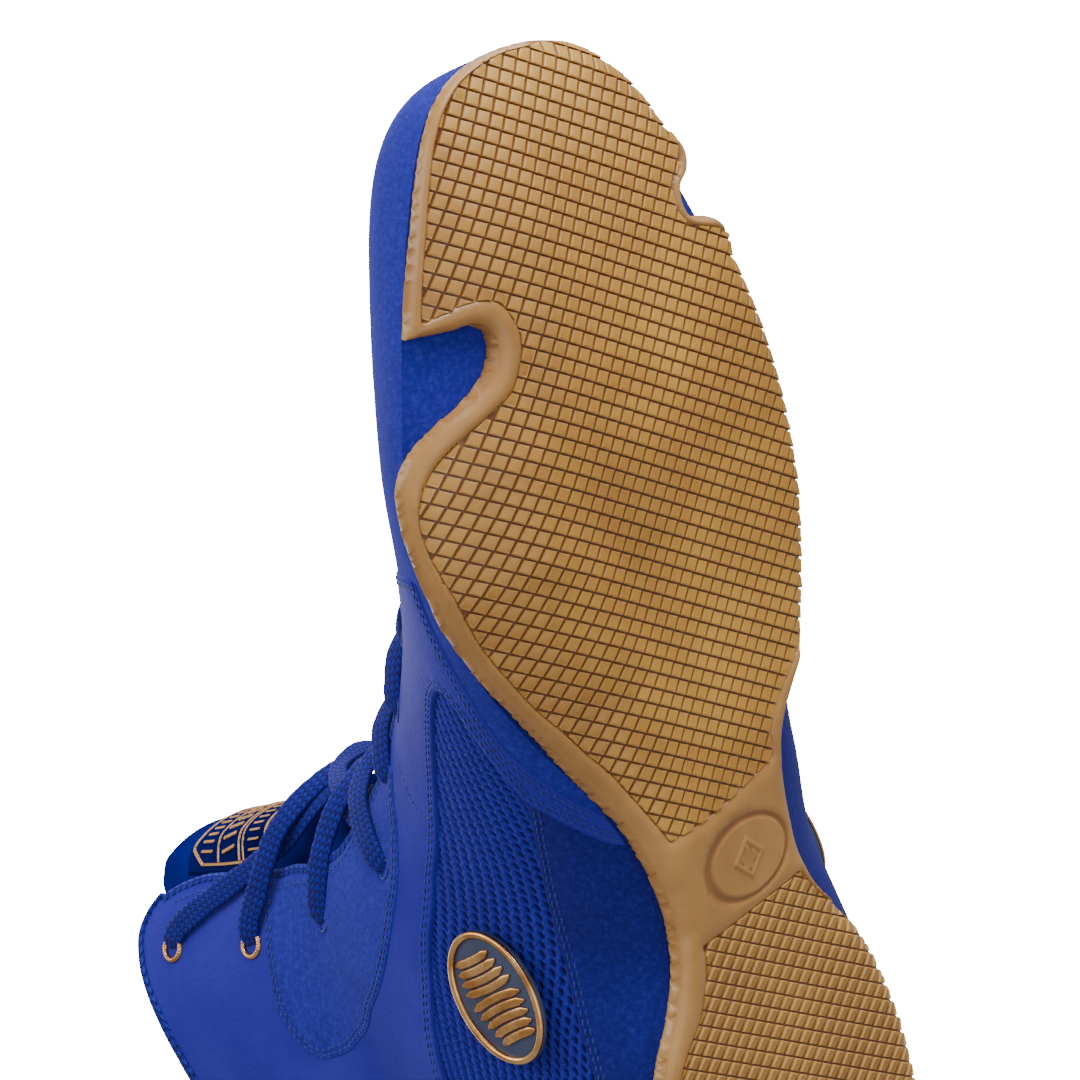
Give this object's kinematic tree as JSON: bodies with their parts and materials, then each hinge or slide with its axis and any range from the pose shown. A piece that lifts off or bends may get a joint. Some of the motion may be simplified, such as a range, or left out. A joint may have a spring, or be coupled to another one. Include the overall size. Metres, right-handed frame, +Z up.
{
  "type": "boxing boot",
  "caption": "Left ankle-height boxing boot: lace-up leather, suede and mesh upper on a thin gum rubber sole with a fine studded tread and a smooth arch bridge.",
  "frame": {"origin": "on the ground plane, on the flat of the outsole under the middle of the foot", "axes": "+Z up, +Y from toe to heel, +X towards the outer (lateral) side of this left boot"},
  "size_m": [0.0989, 0.2888, 0.1709],
  "materials": {
    "gum": "moulded gum rubber, satin",
    "foam": "textile-faced foam",
    "board": "fibre board",
    "liner": "knit textile over foam",
    "suede": "fine napped suede",
    "leather": "smooth leather with a fine grain",
    "mesh": "open knit mesh",
    "lining": "brushed textile lining",
    "stiffener": "thermoplastic stiffener sheet",
    "binding": "braided binding",
    "lace": "flat woven lace",
    "gold": "polished warm gold",
    "aglet": "plastic tip",
    "badge": "soft slate-blue plastic",
    "label": "woven label with gold thread"
  },
  "bodies": {
    "boot": {"backstay": "suede", "collar_binding": "binding", "eyelet_grommets": "gold", "heel_counter": "stiffener", "insole_board": "board", "lace": "lace", "lace_aglets": "aglet", "lateral_badge_base": "badge", "lateral_badge_rim": "gold", "lateral_band": "leather", "lateral_collar_foam": "foam", "lateral_eyelet_patch": "suede", "lateral_eyestay_binding": "binding", "lateral_heel_panel": "suede", "lateral_lining": "lining", "lateral_mesh_panel": "mesh", "lateral_quarter": "leather", "medial_badge_base": "badge", "medial_badge_rim": "gold", "medial_band": "leather", "medial_collar_foam": "foam", "medial_eyelet_patch": "suede", "medial_eyestay_binding": "binding", "medial_heel_panel": "suede", "medial_lining": "lining", "medial_mesh_panel": "mesh", "medial_quarter": "leather", "midsole": "foam", "outsole": "gum", "sockliner": "liner"},
    "forefoot": {"vamp": "suede", "vamp_lining": "lining", "toe_puff": "stiffener"},
    "tongue": {"tongue_face": "leather", "tongue_foam": "foam", "tongue_label": "label", "tongue_lining": "lining"}
  },
  "joints": [
    {"name": "forefoot_flex", "type": "hinge", "parent": "boot", "child": "forefoot", "pos_m": [0, -0.062, 0.006], "axis": [-1, 0, 0], "range_deg": [0, 30], "stiffness_Nm_per_rad": 2, "deforming": ["outsole", "midsole", "insole_board", "sockliner", "vamp", "vamp_lining"]},
    {"name": "tongue_hinge", "type": "hinge", "parent": "boot", "child": "tongue", "pos_m": [0, -0.04, 0.066], "axis": [-1, 0, 0], "range_deg": [0, 14], "stiffness_Nm_per_rad": 0.4}
  ]
}
